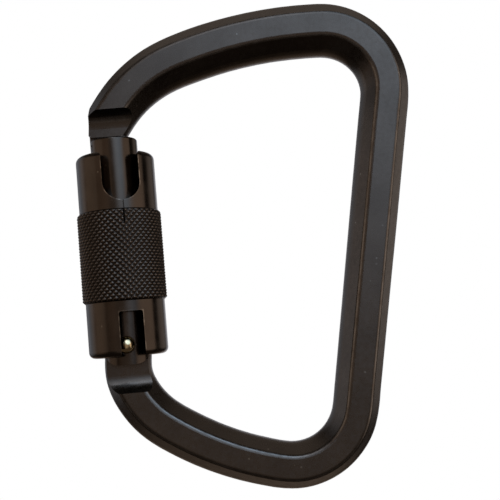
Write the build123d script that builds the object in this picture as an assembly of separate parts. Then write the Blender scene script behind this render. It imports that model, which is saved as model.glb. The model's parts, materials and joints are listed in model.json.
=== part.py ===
"""Large locking carabiner with a spring-loaded gate and a lift-and-turn locking sleeve.

The bow lies in the XZ plane. The origin is the inside of the upper bow, where the carabiner hangs,
+Z is up, +X points from the gate to the spine, and Y runs through the thickness of the bar.
"""

from build123d import *
import os
from math import atan2, ceil, cos, degrees, hypot, radians, sin, tan

# ---- driving dimensions, mm and degrees ----
# centreline of the bow, walked both ways from the point above the origin as (radius, turn)
CORNER_RADIUS = 15.5
CROWN_SHARE = 2.9
TOP_BOW_RADIUS = 101.0
TOP_BOW_TURN = 21.0
NOSE_RADIUS = 31.0
NOSE_TURN = 36.0
NOSE_TIP = 8.0
CORNER_TURN = 95.9
SPINE_LENGTH = 75.0
HEEL_RADIUS = 15.5
HEEL_TURN = 92.0
BASKET_RADIUS = 73.6
BASKET_TURN = 22.6
TANG_RADIUS = 21.4
TANG_TURN = 33.0
ROOT_RADIUS = 12.0
ROOT_TURN = 26.0
TANG_LENGTH = 4.6

# bar section: a flat on each face, a bevel each side of it, and a bulged side
BAR_THICKNESS = 13.1
FLAT_WIDTH = 5.6
SIDE_HEIGHT = 6.4
SIDE_BULGE = 1.0
EDGE_ROUND = 1.2
WIDTH_TOP_BOW = 12.9
WIDTH_CROWN = 13.1
WIDTH_SPINE = 11.8
WIDTH_HEEL = 11.0
WIDTH_BASKET = 11.4
WIDTH_TANG = 11.1
WIDTH_NOSE = 11.3
TOP_BOW_MARK = 0.45

# nose and tang, the thin ends that meet the gate
BLADE_THICKNESS = 5.2
NOSE_FLAT_LENGTH = 1.9
TANG_FLAT_LENGTH = 7.2
KEY_NECK_THICKNESS = 3.0
KEY_DEPTH = 2.7
KEY_HEAD_HEIGHT = 1.2
KEY_REACH = 7.0
NOSE_BACKSET = 6.6
NOSE_OFFSET = 0.6
CAM_HALF_FLAT = 2.2

# gate
GATE_DIAMETER = 11.3
GATE_BORE = 5.0
BORE_COVER = 21.4
GATE_RIM = 0.5
FORK_DROP = 4.6
FORK_CORNER = 3.6

# hinge rivet
RIVET_SHANK = 3.0
RIVET_HEAD = 4.0
RIVET_DOME = 1.2
RIVET_SEAT = 5.2

# gate spring and its plunger
PLUNGER_LENGTH = 5.0
PLUNGER_CHAMFER = 0.3
GATE_SPRING_WIRE = 0.6
GATE_SPRING_TURNS = 8

# locking sleeve
SLEEVE_DIAMETER = 18.8
SLEEVE_BORE = 15.1
GATE_REVEAL = 3.9
SLEEVE_DROP = 2.7
SLEEVE_EDGE = 1.5
BAND_RISE = 0.3
BAND_START = 12.9
BAND_STOP = 13.9
NOSE_CUT_WIDTH = 8.8
NOSE_CUT_DEPTH = 11.9
NOSE_CUT_MOUTH = 1.0
SLIT_WIDTH = 0.4
SLIT_LENGTH = 5.6
SLIT_DEPTH = 1.0
RIVET_CUT_WIDTH = 5.6
RIVET_CUT_HEIGHT = 10.5
RIVET_CUT_CORNER = 0.5
CUT_HEADING = 13.0

# running gear inside the sleeve
LEDGE_DEPTH = 14.4
SEAT_GAP = 0.4
SEAT_LENGTH = 3.0
COLLAR_LENGTH = 1.6
COLLAR_DIAMETER = 14.4
RING_THICKNESS = 0.9
RING_DIAMETER = 13.6
RING_MOUTH = 3.0
GROOVE_DEPTH = 0.4
SLEEVE_SPRING_DIAMETER = 13.2
SLEEVE_SPRING_WIRE = 0.9
SLEEVE_SPRING_TURNS = 4
PIN_DIAMETER = 1.2
PIN_WALL = 0.6
PIN_SINK = 0.3

# clearances
GATE_TOP_GAP = 0.6
RUNNING_FIT = 0.05
BLADE_CLEARANCE = 0.15
KEY_CLEARANCE = 0.3
TIP_GAP = 0.1
STOP_GAP = 0.15
SWING_GAP = 0.35
SPOT_GAP = 0.2
SLEEVE_GAP = 0.1

# how far cutting shapes reach across the bar and past a surface, and how deep joined shapes lap
REACH = 14.0
OVERCUT = 1.0
LAP = 0.1

# longest step between the bar's sections
STATION_STEP = 4.0


def side(heading):
    """Unit vector to the left of a heading given in degrees, in the XZ plane."""
    return (-sin(radians(heading)), cos(radians(heading)))


def walk(x, z, heading, legs, hand):
    """Stations (x, z, heading, distance) along straight and round legs; hand is +1 for left turns."""
    stations = [(x, z, heading, 0.0)]
    distance = 0.0
    for radius, amount in legs:
        length = radians(amount) * radius if radius else amount
        steps = ceil(length / STATION_STEP)
        turn = hand * amount / steps if radius else 0.0
        step = length / steps
        chord = 2 * radius * sin(radians(abs(turn)) / 2) if radius else step
        for _ in range(steps):
            middle = radians(heading + turn / 2)
            x += chord * cos(middle)
            z += chord * sin(middle)
            heading += turn
            distance += step
            stations.append((x, z, heading, distance))
    return stations


NOSE_LEGS = [
    (CORNER_RADIUS, CROWN_SHARE),
    (TOP_BOW_RADIUS, TOP_BOW_TURN),
    (NOSE_RADIUS, NOSE_TURN),
    (None, NOSE_TIP),
]
TANG_LEGS = [
    (CORNER_RADIUS, CORNER_TURN),
    (None, SPINE_LENGTH),
    (HEEL_RADIUS, HEEL_TURN),
    (BASKET_RADIUS, BASKET_TURN),
    (TANG_RADIUS, TANG_TURN),
    (ROOT_RADIUS, ROOT_TURN),
    (None, TANG_LENGTH),
]
to_nose = walk(0.0, WIDTH_CROWN / 2, 180.0, NOSE_LEGS, 1)
to_hinge = walk(0.0, WIDTH_CROWN / 2, 0.0, TANG_LEGS, -1)
nose_point = walk(0.0, WIDTH_CROWN / 2, 180.0, NOSE_LEGS[:-1], 1)[-1]
hinge_point = to_hinge[-1]

# the gate runs from the hinge to the nose
HINGE = (hinge_point[0], hinge_point[1])
GATE_LEAN = HINGE[0] - nose_point[0] + NOSE_OFFSET
GATE_RISE = nose_point[1] - HINGE[1]
GATE_SPAN = hypot(GATE_LEAN, GATE_RISE)
GATE_TILT = degrees(atan2(GATE_LEAN, GATE_RISE))
GATE_LENGTH = GATE_SPAN - NOSE_BACKSET
GATE_PLACE = Location((HINGE[0], 0, HINGE[1])) * Rotation(0, -GATE_TILT, 0)

BLADE = BLADE_THICKNESS / 2
GATE_R = GATE_DIAMETER / 2
SCOOP_RADIUS = BAR_THICKNESS / 2 - BLADE
FORK_HALF_GAP = BLADE + BLADE_CLEARANCE
TANG_RADIUS_END = WIDTH_TANG / 2
CAM_HEIGHT = (TANG_RADIUS_END ** 2 - CAM_HALF_FLAT ** 2) ** 0.5
PLUNGER_BOTTOM = CAM_HEIGHT + TIP_GAP
PLUNGER_TOP = PLUNGER_BOTTOM + PLUNGER_LENGTH
GATE_BORE_TOP = GATE_LENGTH - BORE_COVER

# heights inside the sleeve, measured up from the hinge
SLEEVE_TOP = GATE_LENGTH - GATE_REVEAL
BAND_BOTTOM = BAND_START - SLEEVE_DROP
BAND_TOP = SLEEVE_TOP - BAND_STOP
LEDGE_HEIGHT = SLEEVE_TOP - LEDGE_DEPTH
RING_TOP = LEDGE_HEIGHT - STOP_GAP
RING_BOTTOM = RING_TOP - RING_THICKNESS
RING_BORE = GATE_DIAMETER - 2 * GROOVE_DEPTH
COLLAR_BOTTOM = RING_BOTTOM - COLLAR_LENGTH
PIN_HEIGHT = COLLAR_BOTTOM + COLLAR_LENGTH / 2
SEAT_BOTTOM = RIVET_CUT_HEIGHT - SLEEVE_DROP + SEAT_GAP
SEAT_TOP = SEAT_BOTTOM + SEAT_LENGTH


def arc_length(legs):
    """Length along a list of legs."""
    return sum(radians(amount) * radius if radius else amount for radius, amount in legs)


def width_at(distance, marks):
    """Bar width at a distance along the walk, between (distance, width) marks."""
    for (d0, w0), (d1, w1) in zip(marks, marks[1:]):
        if distance <= d1 + 1e-6:
            share = (distance - d0) / (d1 - d0)
            return w0 + (w1 - w0) * share * share * (3 - 2 * share)
    return marks[-1][1]


def bar_section(x, z, heading, width):
    """Closed section of the bar, square to its centreline: flats, round edges, bevels, bulged sides."""
    outward = side(heading)
    plane = Plane(origin=(x, 0, z), x_dir=(outward[0], 0, outward[1]),
                  z_dir=(cos(radians(heading)), 0, sin(radians(heading))))
    flat = FLAT_WIDTH / 2
    face = BAR_THICKNESS / 2
    waist = SIDE_HEIGHT / 2
    edge = width / 2
    shoulder = edge - SIDE_BULGE
    bevel = hypot(shoulder - flat, face - waist)
    slope = (shoulder - flat) / bevel, (face - waist) / bevel
    setback = EDGE_ROUND * tan(atan2(slope[1], slope[0]) / 2)
    inside = EDGE_ROUND / cos(atan2(slope[1], slope[0]) / 2) - EDGE_ROUND
    bisector = atan2(1 + slope[0], slope[1])

    def spot(across, through):
        return plane.from_local_coords((across, through))

    edges = []
    for a, b in ((1, 1), (1, -1), (-1, -1), (-1, 1)):
        start = (a * (flat - setback), b * face)
        crest = (a * (flat - inside * cos(bisector)), b * (face - inside * sin(bisector)))
        end = (a * (flat + setback * slope[0]), b * (face - setback * slope[1]))
        corner = (a * shoulder, b * waist)
        quarter = [Edge.make_three_point_arc(spot(*start), spot(*crest), spot(*end)),
                   Edge.make_line(spot(*end), spot(*corner))]
        if a * b > 0:
            quarter.append(Edge.make_three_point_arc(spot(*corner), spot(a * edge, 0),
                                                      spot(a * shoulder, -b * waist)))
        else:
            quarter = quarter[::-1]
            quarter.append(Edge.make_line(spot(*start), spot(-start[0], start[1])))
        edges.extend(quarter)
    return Wire(edges)


def bow_body():
    """The whole bar from the nose round to the hinge as one smooth loft."""
    nose_marks = [
        (0.0, WIDTH_CROWN),
        (arc_length(NOSE_LEGS) * TOP_BOW_MARK, WIDTH_TOP_BOW),
        (arc_length(NOSE_LEGS), WIDTH_NOSE),
    ]
    corner = arc_length(TANG_LEGS[:1])
    heel = arc_length(TANG_LEGS[:2]) + radians(HEEL_TURN) * HEEL_RADIUS / 2
    basket = arc_length(TANG_LEGS[:4])
    tang_marks = [
        (0.0, WIDTH_CROWN),
        (corner, WIDTH_SPINE),
        (heel, WIDTH_HEEL),
        (basket, WIDTH_BASKET),
        (arc_length(TANG_LEGS), WIDTH_TANG),
    ]
    sections = []
    for x, z, heading, distance in reversed(to_nose[1:]):
        sections.append(bar_section(x, z, heading - 180, width_at(distance, nose_marks)))
    for x, z, heading, distance in to_hinge:
        sections.append(bar_section(x, z, heading, width_at(distance, tang_marks)))
    return Solid.make_loft(sections, False)


# ---- small shape helpers, all in the gate's own frame: hinge at zero, +Z up the gate ----
def block(x0, x1, y0, y1, z0, z1):
    """Box between two corners."""
    return Location(((x0 + x1) / 2, (y0 + y1) / 2, (z0 + z1) / 2)) * Box(x1 - x0, y1 - y0, z1 - z0)


def post(diameter, z0, z1):
    """Upright cylinder on the gate's axis."""
    return Location((0, 0, (z0 + z1) / 2)) * Cylinder(diameter / 2, z1 - z0)


def tube(outer, inner, z0, z1):
    """Upright ring on the gate's axis."""
    return post(outer, z0, z1) - post(inner, z0 - OVERCUT, z1 + OVERCUT)


def cross_pin(radius, y0, y1, z=0.0):
    """Cylinder along Y through the gate's axis."""
    return Location((0, (y0 + y1) / 2, z)) * Rotation(90, 0, 0) * Cylinder(radius, y1 - y0)


def face_cutter(z_shoulder, reach, upward):
    """Pair of cutters that thin the bar to the blade on both faces, with a round scoop at the shoulder."""
    half = BAR_THICKNESS / 2
    way = 1 if upward else -1
    far = z_shoulder + way * reach
    cutter = None
    for face in (-1, 1):
        air = face * (half + OVERCUT)
        slab = block(-REACH, REACH, *sorted((face * BLADE, air)), *sorted((z_shoulder, far)))
        place = Location((0, face * half, z_shoulder)) * Rotation(0, 90, 0)
        scoop = place * Cylinder(SCOOP_RADIUS, 2 * REACH)
        lip = block(-REACH, REACH, *sorted((face * half, air)),
                    *sorted((z_shoulder, z_shoulder - way * SCOOP_RADIUS)))
        piece = slab + scoop + lip
        cutter = piece if cutter is None else cutter + piece
    return cutter


def nose_key():
    """Keyed tongue below the nose: a thin neck with a thicker head, rounded like the gate's outside."""
    inner = -GATE_R + KEY_REACH
    head_top = GATE_LENGTH - KEY_DEPTH + KEY_HEAD_HEIGHT
    neck = block(-GATE_R, inner, -KEY_NECK_THICKNESS / 2, KEY_NECK_THICKNESS / 2,
                 head_top - LAP, GATE_LENGTH + GATE_TOP_GAP + OVERCUT)
    head = block(-GATE_R, inner, -BLADE, BLADE, GATE_LENGTH - KEY_DEPTH, head_top)
    return (neck + head) & post(GATE_DIAMETER, 0, GATE_LENGTH + REACH)


def forged_body():
    """Bow with the nose blade and its key at one end and the drilled tang at the other."""
    blade_end = GATE_LENGTH + GATE_TOP_GAP
    nose_shoulder = blade_end + NOSE_FLAT_LENGTH
    outer_trim = Location((-GATE_R, 0, blade_end)) * Rotation(0, GATE_TILT, 0) * block(
        -REACH, 0, -REACH, REACH, -REACH, REACH)
    end_trim = block(-REACH, REACH, -REACH, REACH, blade_end - REACH, blade_end)
    tang_end = cross_pin(TANG_RADIUS_END, -BLADE, BLADE)
    cam_trim = block(-REACH, REACH, -REACH, REACH, CAM_HEIGHT, CAM_HEIGHT + REACH)
    body = bow_body()
    body = body - GATE_PLACE * (outer_trim + end_trim)
    body = body - GATE_PLACE * face_cutter(nose_shoulder, REACH, False)
    body = body - GATE_PLACE * face_cutter(-TANG_FLAT_LENGTH, REACH, True)
    body = body + GATE_PLACE * nose_key()
    body = body + GATE_PLACE * tang_end
    body = body - GATE_PLACE * (cam_trim & cross_pin(2 * TANG_RADIUS_END, -REACH, REACH))
    return body - GATE_PLACE * cross_pin(RIVET_SHANK / 2 + RUNNING_FIT, -REACH, REACH)


def gate_barrel():
    """Round gate, forked at the hinge, bored for its spring, with a keyed pocket for the nose."""
    tall = GATE_LENGTH + FORK_DROP
    outline = Location((0, 0, (GATE_LENGTH - FORK_DROP) / 2)) * Rotation(90, 0, 0) * extrude(
        RectangleRounded(GATE_DIAMETER, tall, FORK_CORNER), GATE_R + OVERCUT, both=True)
    upper = block(-GATE_R, GATE_R, -GATE_R, GATE_R, FORK_CORNER, GATE_LENGTH)
    rod = Location((0, 0, (GATE_LENGTH - FORK_DROP) / 2)) * Cylinder(GATE_R, tall)
    rod = fillet(rod.edges().sort_by(Axis.Z)[-1:], GATE_RIM)
    rod = rod & (outline + upper)
    gap = block(-REACH, REACH, -FORK_HALF_GAP, FORK_HALF_GAP, -REACH, 0)
    crown = cross_pin(TANG_RADIUS_END + SWING_GAP, -FORK_HALF_GAP, FORK_HALF_GAP)
    key_floor = GATE_LENGTH - KEY_DEPTH - KEY_CLEARANCE - SWING_GAP
    lip = GATE_LENGTH - KEY_DEPTH + KEY_HEAD_HEIGHT + KEY_CLEARANCE
    back = -GATE_R + KEY_REACH + KEY_CLEARANCE
    pocket = block(-REACH, back, -BLADE - KEY_CLEARANCE, BLADE + KEY_CLEARANCE, key_floor, lip)
    mouth_half = KEY_NECK_THICKNESS / 2 + KEY_CLEARANCE
    mouth = block(-REACH, back, -mouth_half, mouth_half, lip - LAP, GATE_LENGTH + OVERCUT)
    groove = tube(GATE_DIAMETER + OVERCUT, RING_BORE, RING_BOTTOM, RING_TOP)
    pin_hole = Location((0, 0, PIN_HEIGHT)) * Rotation(0, 90, 0) * Cylinder(PIN_DIAMETER / 2, REACH, align=(
        Align.CENTER, Align.CENTER, Align.MIN))
    spot_radius = RIVET_HEAD / 2 + SPOT_GAP
    spot = cross_pin(spot_radius, RIVET_SEAT, REACH) + cross_pin(spot_radius, -REACH, -RIVET_SEAT)
    rod = rod - gap - crown - post(GATE_BORE, 0, GATE_BORE_TOP) - pocket - mouth - groove - pin_hole - spot
    return GATE_PLACE * (rod - cross_pin(RIVET_SHANK / 2, -REACH, REACH))


def hinge_rivet():
    """Steel rivet through the fork and the tang, with a polished dome at each end."""
    half = RIVET_HEAD / 2
    ball = (half ** 2 + RIVET_DOME ** 2) / (2 * RIVET_DOME)
    dome = Location((0, RIVET_SEAT + RIVET_DOME - ball, 0)) * Sphere(ball)
    dome = dome & cross_pin(half, RIVET_SEAT, RIVET_SEAT + RIVET_DOME + OVERCUT)
    return GATE_PLACE * (cross_pin(RIVET_SHANK / 2, -RIVET_SEAT, RIVET_SEAT) + dome + dome.mirror(Plane.XZ))


def coil(diameter, wire, turns, z0, z1):
    """Round-wire helical spring between two heights, its ends flush inside them."""
    height = z1 - z0 - wire
    mean = (diameter - wire) / 2
    line = Helix(height / turns, height, mean)
    start = Plane(origin=line @ 0, z_dir=line % 0)
    return Location((0, 0, z0 + wire / 2)) * sweep(start * Circle(wire / 2), line, is_frenet=True)


def gate_plunger():
    """Flat-ended steel plunger that the gate spring presses on the tang."""
    diameter = GATE_BORE - 2 * RUNNING_FIT
    return GATE_PLACE * chamfer(
        post(diameter, PLUNGER_BOTTOM, PLUNGER_TOP).edges().filter_by(GeomType.CIRCLE), PLUNGER_CHAMFER)


def gate_spring():
    """Compression spring in the gate's bore, between the plunger and the end of the bore."""
    return GATE_PLACE * coil(GATE_BORE - 4 * RUNNING_FIT, GATE_SPRING_WIRE, GATE_SPRING_TURNS,
                             PLUNGER_TOP + STOP_GAP, GATE_BORE_TOP - STOP_GAP)


def nose_cut():
    """U-shaped cut down from the sleeve's rim, its two corners at the rim rounded off."""
    half = NOSE_CUT_WIDTH / 2
    centre = SLEEVE_TOP - NOSE_CUT_DEPTH + half
    cut = block(-half, half, -REACH, 0, centre, SLEEVE_TOP + OVERCUT) + cross_pin(half, -REACH, 0, centre)
    for way in (-1, 1):
        side_x = way * (half + NOSE_CUT_MOUTH)
        corner = block(*sorted((way * (half - LAP), side_x)), -REACH, 0,
                       SLEEVE_TOP - NOSE_CUT_MOUTH, SLEEVE_TOP + OVERCUT)
        rounding = cross_pin(NOSE_CUT_MOUTH, -REACH - OVERCUT, OVERCUT, SLEEVE_TOP - NOSE_CUT_MOUTH)
        cut = cut + (corner - Location((side_x, 0, 0)) * rounding)
    return cut


def rivet_cut():
    """Slot up from the sleeve's lower rim, over the rivet head."""
    half = RIVET_CUT_WIDTH / 2
    cut = block(-half, half, -REACH, 0, -SLEEVE_DROP - OVERCUT, RIVET_CUT_HEIGHT - SLEEVE_DROP)
    return fillet(cut.edges().filter_by(Axis.Y).group_by(Axis.Z)[-1], RIVET_CUT_CORNER)


def locking_sleeve():
    """Turned sleeve with a raised grip band, a U-cut for the nose and a slot over the rivet head."""
    blank = post(SLEEVE_DIAMETER, -SLEEVE_DROP, SLEEVE_TOP)
    shell = fillet(blank.edges().filter_by(GeomType.CIRCLE), SLEEVE_EDGE)
    band = post(SLEEVE_DIAMETER + 2 * BAND_RISE, BAND_BOTTOM, BAND_TOP)
    band = chamfer(band.edges().filter_by(GeomType.CIRCLE), BAND_RISE)
    shell = shell + band
    shell = shell - post(GATE_DIAMETER + 2 * SLEEVE_GAP, -REACH, SLEEVE_TOP + OVERCUT)
    shell = shell - post(SLEEVE_BORE, -REACH, LEDGE_HEIGHT)
    cut_bottom = SLEEVE_TOP - NOSE_CUT_DEPTH
    slit = block(-SLIT_WIDTH / 2, SLIT_WIDTH / 2, -REACH, SLIT_DEPTH - SLEEVE_DIAMETER / 2,
                 cut_bottom - SLIT_LENGTH, cut_bottom + OVERCUT)
    cuts = Rotation(0, 0, CUT_HEADING) * (nose_cut() + rivet_cut() + slit)
    return GATE_PLACE * (shell - cuts)


def spring_seat():
    """Polymer seat that slides on the gate, carries the sleeve's spring and guides the sleeve's bore."""
    outer = SLEEVE_BORE - 2 * RUNNING_FIT
    return GATE_PLACE * tube(outer, GATE_DIAMETER + 2 * RUNNING_FIT, SEAT_BOTTOM, SEAT_TOP)


def sleeve_spring():
    """Spring around the gate that pushes the sleeve down and turns it back."""
    return GATE_PLACE * coil(SLEEVE_SPRING_DIAMETER, SLEEVE_SPRING_WIRE, SLEEVE_SPRING_TURNS,
                             SEAT_TOP + STOP_GAP, COLLAR_BOTTOM - STOP_GAP)


def spring_collar():
    """Fixed collar above the sleeve's spring, keyed to the gate by a pin."""
    ring = tube(COLLAR_DIAMETER, GATE_DIAMETER, COLLAR_BOTTOM, RING_BOTTOM)
    return GATE_PLACE * (ring - key_pin_shape())


def key_pin_shape():
    """Pin along X, from inside the gate's wall out to the collar's rim."""
    wall_inside = GATE_BORE / 2 + PIN_WALL
    length = COLLAR_DIAMETER / 2 - PIN_SINK - wall_inside
    return Location((wall_inside, 0, PIN_HEIGHT)) * Rotation(0, 90, 0) * Cylinder(
        PIN_DIAMETER / 2, length, align=(Align.CENTER, Align.CENTER, Align.MIN))


def key_pin():
    """Dowel that stops the spring collar from turning on the gate."""
    return GATE_PLACE * key_pin_shape()


def retaining_ring():
    """Open snap ring in the gate's groove, which holds the collar and stops the sleeve."""
    ring = tube(RING_DIAMETER, RING_BORE, RING_BOTTOM, RING_TOP)
    mouth = block(-REACH, 0, -RING_MOUTH / 2, RING_MOUTH / 2, RING_BOTTOM - OVERCUT, RING_TOP + OVERCUT)
    return GATE_PLACE * (ring - mouth)


PARTS = [
    forged_body,
    gate_barrel,
    hinge_rivet,
    gate_plunger,
    gate_spring,
    locking_sleeve,
    spring_seat,
    sleeve_spring,
    spring_collar,
    key_pin,
    retaining_ring,
]

if __name__ == "__main__":
    os.makedirs("parts", exist_ok=True)
    for make in PARTS:
        export_step(make(), f"parts/{make.__name__}.step")
    print("hinge x z", HINGE)
    print("nose x z", nose_point[:2])
    print("gate tilt", GATE_TILT, "gate length", GATE_LENGTH)
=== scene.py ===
"""Looks of a large black locking carabiner, laid out as a Blender add-on and run as a script.

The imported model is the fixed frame: its nodes keep their shape and get their finishes here. The fine
knurl of the sleeve's grip band and the coils of the two springs are made here as surfaces of their own.
"""

import json
import math

import bpy
import numpy as np
from bpy.props import FloatProperty, FloatVectorProperty, PointerProperty
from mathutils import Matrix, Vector


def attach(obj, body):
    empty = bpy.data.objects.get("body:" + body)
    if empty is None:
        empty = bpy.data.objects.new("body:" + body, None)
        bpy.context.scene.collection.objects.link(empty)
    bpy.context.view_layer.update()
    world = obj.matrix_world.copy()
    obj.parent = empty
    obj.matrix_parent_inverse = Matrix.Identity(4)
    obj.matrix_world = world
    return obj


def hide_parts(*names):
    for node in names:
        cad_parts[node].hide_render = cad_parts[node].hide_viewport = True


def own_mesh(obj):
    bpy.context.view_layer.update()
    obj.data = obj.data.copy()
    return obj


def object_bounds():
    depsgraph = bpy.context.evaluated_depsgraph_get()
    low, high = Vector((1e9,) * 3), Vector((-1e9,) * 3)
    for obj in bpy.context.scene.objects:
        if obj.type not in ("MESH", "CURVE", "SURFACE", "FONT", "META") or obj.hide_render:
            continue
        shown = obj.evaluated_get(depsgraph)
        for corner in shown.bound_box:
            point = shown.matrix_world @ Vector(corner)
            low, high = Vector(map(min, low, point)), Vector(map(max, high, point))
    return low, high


bl_info = {
    "name": "Locking carabiner looks",
    "version": (1, 0, 0),
    "blender": (4, 5, 0),
    "location": "3D View > Sidebar > Carabiner",
    "description": "Finishes, knurl, springs and studio for a locking carabiner",
    "category": "Object",
}

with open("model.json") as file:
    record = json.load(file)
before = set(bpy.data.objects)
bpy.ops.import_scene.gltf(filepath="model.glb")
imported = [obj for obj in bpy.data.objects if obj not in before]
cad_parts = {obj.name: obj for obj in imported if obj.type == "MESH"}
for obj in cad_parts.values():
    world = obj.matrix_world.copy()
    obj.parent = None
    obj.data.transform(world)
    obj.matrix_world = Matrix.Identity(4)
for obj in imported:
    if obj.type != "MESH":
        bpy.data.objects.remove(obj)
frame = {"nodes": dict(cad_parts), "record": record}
CAD_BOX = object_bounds()
MM = 0.001


def joint(name):
    """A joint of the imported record."""
    return next(j for j in frame["record"]["behaviour"]["joints"] if j["name"] == name)


# the gate's own frame: up along its axis from the hinge, inward to the spine, and back to the far face
HINGE = np.array(joint("gate_open")["pos_m"])
GATE_UP = np.array(joint("sleeve_lift")["axis"])
GATE_IN = np.array((GATE_UP[2], 0.0, -GATE_UP[0]))
GATE_BACK = np.array((0.0, 1.0, 0.0))

# the two cuts in the sleeve, half widths across its front and heights above the hinge; the front is
# turned this far from straight ahead towards the inside of the bow
FRONT_TURN = math.radians(13)
NOSE_CUT_HALF = 4.4 * MM
NOSE_CUT_CENTRE = 38.1 * MM
RIVET_CUT_HALF = 2.8 * MM
RIVET_CUT_TOP = 7.8 * MM
SLEEVE_RADIUS = 9.4 * MM

# the grip band on the sleeve: its ends above the hinge and its radius, how far the knurl's grooves lie
# over it, its end chamfer and its root under the skin, the slit cut into its top, and the crests, which
# are cut flat at a share of their full height and fade out towards the ends
BAND_BOTTOM = 10.2 * MM
BAND_TOP = 31.7 * MM
BAND_RADIUS = 9.7 * MM
BAND_COVER = 0.02 * MM
BAND_CHAMFER = 0.25 * MM
BAND_ROOT = 0.5 * MM
SLIT_TURN = FRONT_TURN - math.pi / 2
SLIT_RUN = 3.4 * MM
SLIT_HALF = 0.18 * MM
SLIT_DEPTH = 0.35 * MM
CREST_SHARE = 0.86
CREST_FADE = 0.3 * MM
SAMPLES_PER_PITCH = 8

# springs: name, node it stands for, joint that squeezes it, mean radius, wire, turns, lower and upper
# end above the hinge, and how much the joint shortens it
COILS = (
    ("sleeve_return_coil", "sleeve_spring", "sleeve_lift",
     6.15 * MM, 0.9 * MM, 6, 11.35 * MM, 28.39 * MM, 4.2 * MM),
    ("gate_return_coil", "gate_spring", "plunger_push",
     2.1 * MM, 0.6 * MM, 10, 10.35 * MM, 27.93 * MM, 1.0 * MM),
)
WIRE_SIDES = 12
STEPS_PER_TURN = 40

# finishes: how squarely a rubbed edge faces the front or back, from its start to its end, as the
# Y part of its normal; and a speck's edge and core, as shares of its cell
EDGE_STARTS, EDGE_FULL, EDGE_FADES, EDGE_ENDS = 0.68, 0.78, 0.86, 0.95
SPECK_EDGE, SPECK_CORE = 0.22, 0.08


def colour(hexa):
    """Linear RGB of an sRGB hex colour."""
    parts = [int(hexa[i:i + 2], 16) / 255 for i in (1, 3, 5)]
    return tuple(c / 12.92 if c <= 0.04045 else ((c + 0.055) / 1.055) ** 2.4 for c in parts)


# ---- materials ----
MATH = "ShaderNodeMath"
MIX = "ShaderNodeMix"
NOISE = "ShaderNodeTexNoise"
RANGE = "ShaderNodeMapRange"
DOT = {"operation": "DOT_PRODUCT"}
SMOOTH = {"interpolation_type": "SMOOTHSTEP"}
RGBA = {"data_type": "RGBA"}


def add(tree, kind, inputs, **settings):
    """Adds a node with its settings, gives each input named or numbered a value or a link, and
    returns the node's outputs."""
    node = tree.nodes.new(kind)
    for key, value in settings.items():
        setattr(node, key, value)
    for key, given in inputs.items():
        if isinstance(given, bpy.types.NodeSocket):
            tree.links.new(given, node.inputs[key])
        else:
            node.inputs[key].default_value = given
    return node.outputs


def start(name, metallic):
    """A new material with its tree, its shader's inputs and its texture coordinates."""
    made = bpy.data.materials.new(name)
    made.use_nodes = True
    tree = made.node_tree
    shader = tree.nodes["Principled BSDF"].inputs
    shader["Metallic"].default_value = metallic
    return made, tree, shader, add(tree, "ShaderNodeTexCoord", {})


def cover(tree, shader, tint, rough, height, strength, distance=0.02 * MM):
    """Gives a shader its colour, its roughness and the relief of its fine texture."""
    tree.links.new(tint, shader["Base Color"])
    tree.links.new(rough, shader["Roughness"])
    bump = add(tree, "ShaderNodeBump", {"Height": height, "Strength": strength, "Distance": distance})
    tree.links.new(bump["Normal"], shader["Normal"])


def clouded(tree, cloud, tint, low):
    """Tint that a cloud of noise darkens in places, down to its share low."""
    share = add(tree, RANGE, {"Value": cloud, "From Min": 0.3, "From Max": 0.7}, **SMOOTH)[0]
    return add(tree, MIX, {0: share, 6: (*(low * c for c in tint), 1), 7: (*tint, 1)}, **RGBA)[2]


def uneven(tree, cloud, low, high):
    """Roughness that follows a cloud of noise from low to high."""
    return add(tree, RANGE, {"Value": cloud, "From Min": 0.3, "From Max": 0.7, "To Min": low, "To Max": high},
               **SMOOTH)[0]


def specks(tree, where, size_mm, share):
    """Sparse small marks: cells of about size_mm, of which a share carries a round speck."""
    cell = add(tree, "ShaderNodeTexVoronoi", {"Vector": where["Object"], "Scale": 1 / (size_mm * MM)})
    near = add(tree, RANGE, {"Value": cell["Distance"], "From Min": SPECK_EDGE, "From Max": SPECK_CORE},
               **SMOOTH)[0]
    lot = add(tree, "ShaderNodeSeparateColor", {"Color": cell["Color"]})["Red"]
    chosen = add(tree, RANGE, {"Value": lot, "From Min": 1 - share, "From Max": 1.01 - share}, **SMOOTH)[0]
    return add(tree, MATH, {0: near, 1: chosen}, operation="MULTIPLY")[0]


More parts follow.
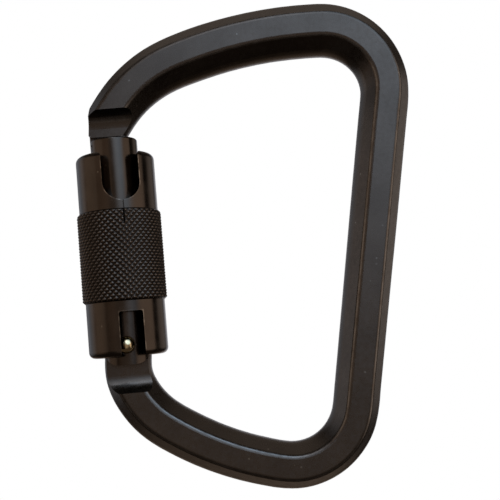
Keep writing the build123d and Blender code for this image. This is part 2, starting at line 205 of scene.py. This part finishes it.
def blasted_anodised(name, tint, worn, roughness):
    """Black anodised aluminium, hot forged, tumbled and bead blasted: a satin, slightly brown black
    whose rounded edges are rubbed paler and smoother, with a few dust specks and handling marks."""
    made, tree, shader, where = start(name, 1.0)
    normal = add(tree, "ShaderNodeSeparateXYZ", {"Vector": where["Normal"]})
    facing = add(tree, MATH, {0: normal["Y"]}, operation="ABSOLUTE")[0]
    rising = add(tree, RANGE, {"Value": facing, "From Min": EDGE_STARTS, "From Max": EDGE_FULL}, **SMOOTH)[0]
    falling = add(tree, RANGE, {"Value": facing, "From Min": EDGE_ENDS, "From Max": EDGE_FADES}, **SMOOTH)[0]
    edge = add(tree, MATH, {0: rising, 1: falling}, operation="MULTIPLY")[0]
    patches = add(tree, NOISE, {"Vector": where["Object"], "Scale": 1 / (2.6 * MM), "Detail": 5.0})["Fac"]
    rub = add(tree, RANGE, {"Value": patches, "From Min": 0.3, "From Max": 0.62, "To Min": 0.35}, **SMOOTH)[0]
    rubbed = add(tree, MATH, {0: edge, 1: rub}, operation="MULTIPLY")[0]
    cloud = add(tree, NOISE, {"Vector": where["Object"], "Scale": 1 / (9.0 * MM), "Detail": 4.0})["Fac"]
    shade = clouded(tree, cloud, tint, 0.86)
    lined = add(tree, MIX, {0: rubbed, 6: shade, 7: (*worn, 1)}, **RGBA)[2]
    dust = specks(tree, where, 1.5, 0.05)
    spotted = add(tree, MIX, {0: dust, 6: lined, 7: (*colour("#7d7973"), 1)}, **RGBA)[2]
    scuffs = add(tree, NOISE, {"Vector": where["Object"], "Scale": 1 / (1.1 * MM), "Detail": 4.0})["Fac"]
    rough = add(tree, RANGE, {"Value": scuffs, "From Min": 0.35, "From Max": 0.75,
                              "To Min": roughness - 0.03, "To Max": roughness + 0.05}, **SMOOTH)[0]
    smoothed = add(tree, MATH, {0: rubbed, 1: -0.03}, operation="MULTIPLY")[0]
    total = add(tree, MATH, {0: rough, 1: smoothed}, operation="ADD")[0]
    # the blasted grain is about 0.1 mm on the real bar, drawn at 0.3 mm so that it shows
    grain = add(tree, NOISE, {"Vector": where["Object"], "Scale": 1 / (0.3 * MM), "Detail": 3.0})["Fac"]
    cover(tree, shader, spotted, total, grain, 0.05, 0.05 * MM)
    return made


def cut_rim_glint_and_wear_mask(tree, where):
    """Mask of the thin pale line along the sleeve's two cuts: partly metal rubbed through the dye, and partly
    a painted highlight in place of the glint that rounded cut rims would catch, since the rims are left
    sharp.

    With u the distance across the front and v the height, the nose cut's edge is |u| = half above its
    centre and the circle u^2 + (v - centre)^2 = half^2 below it, and the rivet cut's is a square
    corner. The mask is 1 near either curve, on the outer skin only.
    """
    def along(axis):
        """Distance from the hinge along an axis."""
        reach = add(tree, "ShaderNodeVectorMath", {0: where["Object"], 1: axis}, **DOT)["Value"]
        return add(tree, MATH, {0: reach, 1: float(np.dot(axis, HINGE))}, operation="SUBTRACT")[0]

    def length(*sides):
        """Root of the sum of two squares."""
        squares = [add(tree, MATH, {0: side, 1: 2.0}, operation="POWER")[0] for side in sides]
        total = add(tree, MATH, dict(enumerate(squares)), operation="ADD")[0]
        return add(tree, MATH, {0: total}, operation="SQRT")[0]

    across = math.cos(FRONT_TURN) * GATE_IN + math.sin(FRONT_TURN) * GATE_BACK
    ahead = math.sin(FRONT_TURN) * GATE_IN - math.cos(FRONT_TURN) * GATE_BACK
    u = add(tree, MATH, {0: along(across)}, operation="ABSOLUTE")[0]
    w = along(ahead)
    v = along(GATE_UP)
    above = add(tree, MATH, {0: v, 1: NOSE_CUT_CENTRE}, operation="SUBTRACT")[0]
    below = add(tree, MATH, {0: above, 1: 0.0}, operation="MINIMUM")[0]
    nose_gap = add(tree, MATH, {0: length(u, below), 1: NOSE_CUT_HALF}, operation="SUBTRACT")[0]
    side_gap = add(tree, MATH, {0: u, 1: RIVET_CUT_HALF}, operation="SUBTRACT")[0]
    top_gap = add(tree, MATH, {0: v, 1: RIVET_CUT_TOP}, operation="SUBTRACT")[0]
    rivet_gap = add(tree, MATH, {0: side_gap, 1: top_gap}, operation="MAXIMUM")[0]
    gaps = [add(tree, MATH, {0: gap}, operation="ABSOLUTE")[0] for gap in (nose_gap, rivet_gap)]
    nearest = add(tree, MATH, dict(enumerate(gaps)), operation="MINIMUM")[0]
    mask = add(tree, RANGE, {"Value": nearest, "From Min": 0.22 * MM, "From Max": 0.08 * MM}, **SMOOTH)[0]
    skin = add(tree, RANGE, {"Value": length(u, w), "From Min": SLEEVE_RADIUS - 0.35 * MM,
                             "From Max": SLEEVE_RADIUS - 0.15 * MM}, **SMOOTH)[0]
    front = add(tree, RANGE, {"Value": w, "From Min": 0.0, "From Max": 1.0 * MM}, **SMOOTH)[0]
    patches = add(tree, NOISE, {"Vector": where["Object"], "Scale": 1 / (1.8 * MM), "Detail": 4.0})["Fac"]
    worn = add(tree, RANGE, {"Value": patches, "From Min": 0.42, "From Max": 0.68, "To Min": 0.06,
                             "To Max": 0.65}, **SMOOTH)[0]
    for part in (skin, front, worn):
        mask = add(tree, MATH, {0: mask, 1: part}, operation="MULTIPLY")[0]
    return mask


def turned_anodised(name, tint, roughness, cuts=False):
    """Black anodised aluminium, turned on a lathe: glossier than the bar, with faint rings round the
    gate's axis, a brown cast where the dye is thin, and a pale line along the milled cuts that is partly
    metal rubbed through the dye and partly a painted highlight on the cut rims."""
    made, tree, shader, where = start(name, 1.0)
    along = add(tree, "ShaderNodeVectorMath", {0: where["Object"], 1: GATE_UP}, **DOT)["Value"]
    rings = add(tree, NOISE, {"W": along, "Scale": 1 / (0.16 * MM), "Detail": 3.0},
                noise_dimensions="1D")["Fac"]
    cloud = add(tree, NOISE, {"Vector": where["Object"], "Scale": 1 / (5.0 * MM), "Detail": 4.0})["Fac"]
    shade = clouded(tree, cloud, tint, 0.82)
    dust = specks(tree, where, 1.3, 0.07)
    spotted = add(tree, MIX, {0: dust, 6: shade, 7: (*colour("#7a756d"), 1)}, **RGBA)[2]
    if cuts:
        # painted highlight, partly wear: a pale metal line along the rims of the cuts, in place of their
        # glint
        cut_rim_glint_and_wear = cut_rim_glint_and_wear_mask(tree, where)
        spotted = add(tree, MIX, {0: cut_rim_glint_and_wear, 6: spotted, 7: (*colour("#c4bcb0"), 1)}, **RGBA)[2]
    rough = uneven(tree, cloud, roughness - 0.04, roughness + 0.05)
    cover(tree, shader, spotted, rough, rings, 0.10)
    return made


def knurled_anodised(name, tint, roughness):
    """The same turned aluminium under the knurling wheel, with painted light and shade: the grooves are
    painted near black as shade, and the crests a little paler, partly rubbed wear and partly a painted
    highlight along the ridges. The surface itself carries the diamonds, so it has no bump."""
    made, tree, shader, where = start(name, 1.0)
    height = add(tree, "ShaderNodeAttribute", {}, attribute_name="crest")["Fac"]
    cloud = add(tree, NOISE, {"Vector": where["Object"], "Scale": 1 / (3.0 * MM), "Detail": 4.0})["Fac"]
    rub = add(tree, RANGE, {"Value": cloud, "From Min": 0.35, "From Max": 0.7, "To Min": 0.4}, **SMOOTH)[0]
    # painted highlight, partly rubbed wear: the tops of the crests are made paler
    top = add(tree, RANGE, {"Value": height, "From Min": 0.55, "From Max": 0.95}, **SMOOTH)[0]
    crest = add(tree, MATH, {0: top, 1: rub}, operation="MULTIPLY")[0]
    # painted shade: the grooves and their lower flanks are darkened towards near black
    out_of_groove_shade = add(tree, RANGE, {"Value": height, "From Min": 0.0, "From Max": 0.45}, **SMOOTH)[0]
    shade = add(tree, MIX, {0: out_of_groove_shade, 6: (*colour("#0c0a09"), 1), 7: (*tint, 1)}, **RGBA)[2]
    lined = add(tree, MIX, {0: crest, 6: shade, 7: (*(2.3 * c for c in tint), 1)}, **RGBA)[2]
    tree.links.new(lined, shader["Base Color"])
    fine = add(tree, NOISE, {"Vector": where["Object"], "Scale": 1 / (0.4 * MM), "Detail": 2.0})["Fac"]
    tree.links.new(uneven(tree, fine, roughness - 0.04, roughness + 0.06), shader["Roughness"])
    return made


def polished_steel(name, tint, roughness, grain_mm=0.4):
    """Stainless steel, polished or drawn: a bright mirror with faint scratches and handling haze."""
    made, tree, shader, where = start(name, 1.0)
    cloud = add(tree, NOISE, {"Vector": where["Object"], "Scale": 1 / (1.5 * MM), "Detail": 4.0})["Fac"]
    grain = add(tree, NOISE, {"Vector": where["Object"], "Scale": 1 / (grain_mm * MM), "Detail": 3.0})["Fac"]
    rough = uneven(tree, cloud, roughness - 0.03, roughness + 0.05)
    cover(tree, shader, clouded(tree, cloud, tint, 0.88), rough, grain, 0.03)
    return made


def moulded_acetal(name, tint, roughness):
    """Black acetal, injection moulded: an even semi-gloss black with a fine eroded-mould texture."""
    made, tree, shader, where = start(name, 0.0)
    cloud = add(tree, NOISE, {"Vector": where["Object"], "Scale": 1 / (2.0 * MM), "Detail": 3.0})["Fac"]
    grain = add(tree, NOISE, {"Vector": where["Object"], "Scale": 1 / (0.15 * MM), "Detail": 3.0})["Fac"]
    rough = uneven(tree, cloud, roughness - 0.05, roughness + 0.05)
    cover(tree, shader, clouded(tree, cloud, tint, 0.8), rough, grain, 0.15)
    return made


def wear(node, made):
    """Puts a finish on a CAD node's slots."""
    mesh = frame["nodes"][node].data
    mesh.materials.clear()
    mesh.materials.append(made)


# ---- surfaces ----
def mesh_piece(name, points, quads, triangles=()):
    """Object at the origin from whole arrays, turned the right way out if its signed volume is negative."""
    halves = np.concatenate((quads[:, [0, 1, 2]], quads[:, [0, 2, 3]],
                             np.asarray(triangles, int).reshape(-1, 3)))
    a, b, c = (points[halves[:, k]] - points[0] for k in range(3))
    if np.einsum("ij,ij->", a, np.cross(b, c)) < 0:
        quads = quads[:, ::-1]
        triangles = [tuple(t)[::-1] for t in triangles]
    mesh = bpy.data.meshes.new(name)
    mesh.from_pydata(points, [], quads.tolist() + [tuple(t) for t in triangles])
    mesh.polygons.foreach_set("use_smooth", np.ones(len(mesh.polygons), dtype=bool))
    mesh.update()
    piece = bpy.data.objects.new(name, mesh)
    bpy.context.scene.collection.objects.link(piece)
    return piece


def closed_ring(name, radius, height, crest):
    """Ring round the gate's axis.

    Point (i, j) stands at hinge + up * height[j] + (inward * cos t + back * sin t) * radius[i, j], with
    t = 2 pi i / columns. Both directions wrap round, so the surface is a closed torus.
    """
    columns, rows = radius.shape
    turn = np.arange(columns) * 2 * np.pi / columns
    out = np.cos(turn)[:, None] * GATE_IN + np.sin(turn)[:, None] * GATE_BACK
    points = HINGE + GATE_UP * height[None, :, None] + out[:, None, :] * radius[:, :, None]
    i, j = np.meshgrid(np.arange(columns), np.arange(rows), indexing="ij")
    i2, j2 = (i + 1) % columns, (j + 1) % rows
    quads = np.stack((i * rows + j, i2 * rows + j, i2 * rows + j2, i * rows + j2), axis=-1).reshape(-1, 4)
    piece = mesh_piece(name, points.reshape(-1, 3), quads)
    marks = piece.data.attributes.new("crest", "FLOAT", "POINT")
    marks.data.foreach_set("value", crest.astype(np.float32).ravel())
    return piece


def coil(name, mean, wire, turns, low, high):
    """Round-wire compression spring on the gate's axis, from low to high above the hinge.

    At turn t the wire's centre stands at height h(t) and radius mean, where h rises by one wire a turn
    in the first and last turn, which lie closed, and evenly between them. The skin is centre(t) +
    wire / 2 * (outward * cos b + normal * sin b), and each end is closed to a point on the centre.
    """
    t = np.linspace(0, turns, turns * STEPS_PER_TURN + 1)
    rise = high - low - wire
    pitch = (rise - 2 * wire) / (turns - 2)
    open_part = wire + pitch * (t - 1)
    h = np.where(t < 1, wire * t, np.where(t > turns - 1, rise - wire * (turns - t), open_part))
    angle = 2 * np.pi * t[:, None]
    out = np.cos(angle) * GATE_IN + np.sin(angle) * GATE_BACK
    ahead = -np.sin(angle) * GATE_IN + np.cos(angle) * GATE_BACK
    tangent = ahead * 2 * np.pi * mean + GATE_UP * np.gradient(h, t)[:, None]
    normal = np.cross(tangent / np.linalg.norm(tangent, axis=1, keepdims=True), out)
    centre = HINGE + GATE_UP * (low + wire / 2 + h)[:, None] + out * mean
    b = np.arange(WIRE_SIDES) * 2 * np.pi / WIRE_SIDES
    skin = out[:, None, :] * np.cos(b)[None, :, None] + normal[:, None, :] * np.sin(b)[None, :, None]
    points = (centre[:, None, :] + skin * wire / 2).reshape(-1, 3)
    points = np.vstack((points, centre[0], centre[-1]))
    i, j = np.meshgrid(np.arange(len(t) - 1), np.arange(WIRE_SIDES), indexing="ij")
    i2, j2 = i + 1, (j + 1) % WIRE_SIDES
    quads = np.stack((i * WIRE_SIDES + j, i2 * WIRE_SIDES + j, i2 * WIRE_SIDES + j2, i * WIRE_SIDES + j2),
                     axis=-1)
    last = (len(t) - 1) * WIRE_SIDES
    k = np.arange(WIRE_SIDES)
    k2 = (k + 1) % WIRE_SIDES
    start_cap = np.stack((k, k2, np.full(WIRE_SIDES, len(points) - 2)), axis=-1)
    end_cap = np.stack((last + k2, last + k, np.full(WIRE_SIDES, len(points) - 1)), axis=-1)
    return mesh_piece(name, points, quads.reshape(-1, 4), np.vstack((start_cap, end_cap)).tolist())


def make_knurl(pitch, depth):
    """Diamond knurl of the grip band.

    With a and b the distances round and along the band in pitches, each family of grooves is the
    triangle wave of a + b or a - b, and the crest height is the smaller of the two waves, so that
    two crossing sets of V-grooves leave pyramids. The band's ends are chamfered at 45 degrees, and a
    slit runs down from the top beside the nose cut.
    """
    base = BAND_RADIUS + BAND_COVER
    columns = int(round(2 * math.pi * BAND_RADIUS / pitch)) * SAMPLES_PER_PITCH
    length = BAND_TOP - BAND_BOTTOM
    rows = int(round(length / pitch * SAMPLES_PER_PITCH))
    along = np.linspace(0, length, rows + 1)
    a = np.arange(columns)[:, None] / SAMPLES_PER_PITCH
    b = (along / pitch)[None, :]
    first = np.abs(2 * ((a + b) % 1) - 1)
    second = np.abs(2 * ((a - b) % 1) - 1)
    crest = np.minimum(np.minimum(first, second) / CREST_SHARE, 1.0)
    ends = np.minimum(along, length - along)[None, :]
    radius = np.minimum(base + depth * crest, base - BAND_CHAMFER + ends)
    crest = crest * np.clip(ends / CREST_FADE, 0, 1)
    turn = np.arange(columns) * 2 * np.pi / columns
    off = np.abs((turn - SLIT_TURN + np.pi) % (2 * np.pi) - np.pi)[:, None] * BAND_RADIUS
    slit = (off < SLIT_HALF) & ((length - along)[None, :] < SLIT_RUN)
    radius = np.where(slit, base - SLIT_DEPTH, radius)
    crest = np.where(slit, 0.0, crest)
    radius = np.concatenate((radius, np.full((columns, 2), base - BAND_ROOT)), axis=1)
    crest = np.concatenate((crest, np.zeros((columns, 2))), axis=1)
    height = BAND_BOTTOM + np.concatenate((along, (length, 0.0)))
    return closed_ring("grip_knurl", radius, height, crest)


# ---- user's settings ----
class CarabinerFinish(bpy.types.PropertyGroup):
    body_tint: FloatVectorProperty(
        name="Body tint", description="Colour of the blasted black anodised bar", subtype="COLOR",
        default=colour("#5a534d"), min=0, max=1)
    edge_tint: FloatVectorProperty(
        name="Edge tint", description="Colour of the bar's rubbed edges", subtype="COLOR",
        default=colour("#7c7874"), min=0, max=1)
    body_roughness: FloatProperty(
        name="Body roughness", description="Roughness of the blasted bar", default=0.30, min=0.05, max=1)
    sleeve_tint: FloatVectorProperty(
        name="Sleeve tint", description="Colour of the turned black anodised sleeve and gate",
        subtype="COLOR", default=colour("#524a43"), min=0, max=1)
    sleeve_roughness: FloatProperty(
        name="Sleeve roughness", description="Roughness of the turned sleeve", default=0.18, min=0.05, max=1)
    knurl_pitch: FloatProperty(
        name="Knurl pitch", description="Distance between diamonds round the grip band", unit="LENGTH",
        default=1.41 * MM, min=0.5 * MM, max=4 * MM)
    knurl_depth: FloatProperty(
        name="Knurl depth", description="Depth of the knurl's grooves", unit="LENGTH",
        default=0.36 * MM, min=0.05 * MM, max=0.6 * MM)


class CarabinerStudio(bpy.types.PropertyGroup):
    key_power: FloatProperty(
        name="Key light", description="Power of the softbox over the front", default=0.12, unit="POWER")
    fill_power: FloatProperty(
        name="Fill light", description="Power of the softbox on the gate's side", default=0.08, unit="POWER")
    paper: FloatVectorProperty(
        name="Paper", description="Colour of the floor paper", subtype="COLOR",
        default=colour("#f8f8f6"), min=0, max=1)


class CARABINER_OT_body(bpy.types.Operator):
    """Finish the forged body"""
    bl_idname = "carabiner.body"
    bl_label = "Forged body"

    def execute(self, context):
        look = context.scene.carabiner_finish
        wear("forged_body", blasted_anodised("black_anodised_aluminium_blasted", tuple(look.body_tint),
                                             tuple(look.edge_tint), look.body_roughness))
        return {"FINISHED"}


class CARABINER_OT_gate(bpy.types.Operator):
    """Finish the gate and the locking sleeve"""
    bl_idname = "carabiner.gate"
    bl_label = "Gate and sleeve"

    def execute(self, context):
        look = context.scene.carabiner_finish
        tint = tuple(look.sleeve_tint)
        wear("gate_barrel", turned_anodised("black_anodised_aluminium_turned", tint, look.sleeve_roughness))
        wear("locking_sleeve", turned_anodised("black_anodised_aluminium_milled", tint,
                                               look.sleeve_roughness, cuts=True))
        return {"FINISHED"}


class CARABINER_OT_knurl(bpy.types.Operator):
    """Cut the diamond knurl of the sleeve's grip band"""
    bl_idname = "carabiner.knurl"
    bl_label = "Grip knurl"

    def execute(self, context):
        look = context.scene.carabiner_finish
        piece = make_knurl(look.knurl_pitch, look.knurl_depth)
        piece.data.materials.append(knurled_anodised("black_anodised_aluminium_knurled",
                                                     tuple(look.sleeve_tint), roughness=0.3))
        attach(piece, "sleeve")
        return {"FINISHED"}


class CARABINER_OT_rivet(bpy.types.Operator):
    """Finish the hinge rivet"""
    bl_idname = "carabiner.rivet"
    bl_label = "Hinge rivet"

    def execute(self, context):
        wear("hinge_rivet", polished_steel("polished_stainless_steel", colour("#ecd9ae"), roughness=0.14))
        return {"FINISHED"}


class CARABINER_OT_gear(bpy.types.Operator):
    """Finish the springs, the seat and the small parts inside the sleeve"""
    bl_idname = "carabiner.gear"
    bl_label = "Springs and running gear"

    def execute(self, context):
        drawn = polished_steel("drawn_spring_steel", colour("#b9b6b0"), roughness=0.28, grain_mm=0.2)
        for node in ("gate_plunger", "spring_collar", "key_pin", "retaining_ring"):
            wear(node, drawn)
        for name, node, joint_name, mean, wire, turns, low, high, travel in COILS:
            piece = coil(name, mean, wire, turns, low, high)
            piece.data.materials.append(drawn)
            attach(piece, "gate")
            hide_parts(node)
            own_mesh(piece)
        wear("spring_seat", moulded_acetal("moulded_acetal", colour("#1c1c1c"), roughness=0.45))
        return {"FINISHED"}


# ---- stage ----
CAMERA_PLACE = Vector((-23.8, -221.0, -67.0)) * MM
CAMERA_AIM = Vector((0.02773, 0.99591, 0.08595))
LENS_MM = 66.04
SENSOR_MM = 36
NEAREST = 0.01

# the two lamps, where they stand and their side
KEY_PLACE, KEY_SIZE = (-0.15, -0.45, 0.45), 0.35
FILL_PLACE, FILL_SIZE = (-0.6, -0.15, 0.05), 0.4

# what the metal mirrors: direction of a softbox, its inner and outer half angle, colour and strength
SOFTBOXES = (
    ((0.30, -0.78, 0.55), 15, 35, "#bddafa", 1.95),
    ((-0.12, -0.76, 0.66), 5, 19, "#d2d0d2", 0.75),
    ((0.00, -0.98, -0.16), 14, 40, "#d2c0b2", 0.32),
    ((0.00, 0.42, 0.90), 12, 44, "#dccfc4", 0.28),
    ((-0.98, -0.05, 0.08), 14, 40, "#d0b49c", 0.46),
    ((-0.62, -0.74, 0.24), 8, 26, "#d6b9a2", 0.42),
    ((-0.80, 0.60, 0.10), 12, 34, "#e4efff", 0.40),
    ((0.93, -0.36, 0.08), 12, 38, "#d4c2b4", 1.0),
    ((0.82, 0.57, 0.10), 6, 22, "#d9cfc8", 0.60),
    ((0.10, 0.99, 0.05), 12, 34, "#f4f6ff", 0.70),
    ((0.00, 0.80, -0.60), 10, 36, "#c9b29e", 0.35),
)
DIM = "#3d342d"


def make_camera():
    """Camera in front, a little low and towards the gate."""
    data = bpy.data.cameras.new("camera")
    data.lens = LENS_MM
    data.sensor_width = SENSOR_MM
    data.clip_start = NEAREST
    camera = bpy.data.objects.new("camera", data)
    camera.location = CAMERA_PLACE
    camera.rotation_euler = CAMERA_AIM.to_track_quat("-Z", "Y").to_euler()
    bpy.context.scene.collection.objects.link(camera)
    bpy.context.scene.camera = camera


def make_world():
    """White room; what the dark metal mirrors of it is a ring of softboxes, dim and brown between them."""
    world = bpy.data.worlds.new("studio")
    bpy.context.scene.world = world
    world.use_nodes = True
    tree = world.node_tree
    shader = tree.nodes["Background"]
    where = add(tree, "ShaderNodeTexCoord", {})
    unit = add(tree, "ShaderNodeVectorMath", {0: where["Generated"]}, operation="NORMALIZE")["Vector"]
    total = (*colour(DIM), 1)
    for direction, inner, outer, tint, strength in SOFTBOXES:
        near = add(tree, "ShaderNodeVectorMath", {0: unit, 1: Vector(direction).normalized()}, **DOT)["Value"]
        share = add(tree, RANGE, {"Value": near, "From Min": math.cos(math.radians(outer)),
                                  "From Max": math.cos(math.radians(inner))}, **SMOOTH)[0]
        light = (*(strength * c for c in colour(tint)), 1)
        total = add(tree, MIX, {0: share, 6: total, 7: light}, blend_type="ADD", **RGBA)[2]
    glossy = add(tree, "ShaderNodeLightPath", {})["Is Glossy Ray"]
    seen = add(tree, MIX, {0: glossy, 6: (1.0, 1.0, 1.0, 1.0), 7: total}, **RGBA)[2]
    tree.links.new(seen, shader.inputs["Color"])


def area_light(name, place, size, power, tint):
    """Square softbox aimed at the middle of the object."""
    data = bpy.data.lights.new(name, "AREA")
    data.energy = power
    data.size = size
    data.color = colour(tint)
    lamp = bpy.data.objects.new(name, data)
    middle = Vector(tuple((a + b) / 2 for a, b in zip(*CAD_BOX)))
    lamp.location = place
    lamp.rotation_euler = (middle - Vector(place)).to_track_quat("-Z", "Y").to_euler()
    bpy.context.scene.collection.objects.link(lamp)


def make_floor(paper):
    """Round pale paper floor, well below the hanging carabiner.

    With rings j and turns t, a point stands at (r cos t, r sin t) with r = reach * (j / rings) ** 2.
    """
    reach, height, turns, rings = 2.4, -0.72, 64, 8
    t = np.arange(turns)[:, None] * 2 * np.pi / turns
    r = reach * (np.arange(1, rings + 1)[None, :] / rings) ** 2
    points = np.stack((r * np.cos(t), r * np.sin(t), np.full((turns, rings), height)), axis=-1)
    points = np.vstack((points.reshape(-1, 3), (0.0, 0.0, height)))
    i, j = np.meshgrid(np.arange(turns), np.arange(rings - 1), indexing="ij")
    i2 = (i + 1) % turns
    quads = np.stack((i * rings + j, i * rings + j + 1, i2 * rings + j + 1, i2 * rings + j), axis=-1)
    k = np.arange(turns)
    fan = np.stack((np.full(turns, turns * rings), k * rings, (k + 1) % turns * rings), axis=-1)
    mesh = bpy.data.meshes.new("paper_floor")
    mesh.from_pydata(points, [], quads.reshape(-1, 4).tolist() + fan.tolist())
    floor = bpy.data.objects.new("paper_floor", mesh)
    bpy.context.scene.collection.objects.link(floor)
    made, tree, shader, where = start("matt_white_paper", 0.0)
    fibre = add(tree, NOISE, {"Vector": where["Object"], "Scale": 1 / (1.5 * MM), "Detail": 3.0})["Fac"]
    shade = add(tree, MIX, {0: fibre, 6: (*(0.98 * c for c in paper), 1), 7: (*paper, 1)}, **RGBA)[2]
    tree.links.new(shade, shader["Base Color"])
    shader["Roughness"].default_value = 0.9
    mesh.materials.append(made)
    floor.visible_glossy = False


class CARABINER_OT_stage(bpy.types.Operator):
    """Make the camera, the studio and the lights"""
    bl_idname = "carabiner.stage"
    bl_label = "Studio"

    def execute(self, context):
        studio = context.scene.carabiner_studio
        make_camera()
        make_world()
        make_floor(studio.paper)
        area_light("key_softbox", KEY_PLACE, KEY_SIZE, studio.key_power, "#eef3ff")
        area_light("fill_softbox", FILL_PLACE, FILL_SIZE, studio.fill_power, "#fff4e8")
        context.scene.view_settings.view_transform = "Standard"
        return {"FINISHED"}


class CARABINER_PT_panel(bpy.types.Panel):
    """Sidebar panel with the carabiner's settings"""
    bl_label = "Carabiner"
    bl_idname = "CARABINER_PT_panel"
    bl_space_type = "VIEW_3D"
    bl_region_type = "UI"
    bl_category = "Carabiner"

    def draw(self, context):
        for group in (context.scene.carabiner_finish, context.scene.carabiner_studio):
            for name in type(group).__annotations__:
                self.layout.prop(group, name)
        for maker in MAKERS:
            self.layout.operator(maker.bl_idname)


GROUPS = (CarabinerFinish, CarabinerStudio)
MAKERS = (CARABINER_OT_body, CARABINER_OT_gate, CARABINER_OT_knurl, CARABINER_OT_rivet, CARABINER_OT_gear,
          CARABINER_OT_stage)


def register():
    """Registers the settings, the makers and the panel."""
    for cls in (*GROUPS, *MAKERS, CARABINER_PT_panel):
        bpy.utils.register_class(cls)
    bpy.types.Scene.carabiner_finish = PointerProperty(type=CarabinerFinish)
    bpy.types.Scene.carabiner_studio = PointerProperty(type=CarabinerStudio)


def unregister():
    """Undoes register()."""
    del bpy.types.Scene.carabiner_studio
    del bpy.types.Scene.carabiner_finish
    for cls in reversed((*GROUPS, *MAKERS, CARABINER_PT_panel)):
        bpy.utils.unregister_class(cls)


def main():
    """Makes everything."""
    register()
    bpy.ops.carabiner.body()
    bpy.ops.carabiner.gate()
    bpy.ops.carabiner.knurl()
    bpy.ops.carabiner.rivet()
    bpy.ops.carabiner.gear()
    bpy.ops.carabiner.stage()


if __name__ == "__main__":
    main()
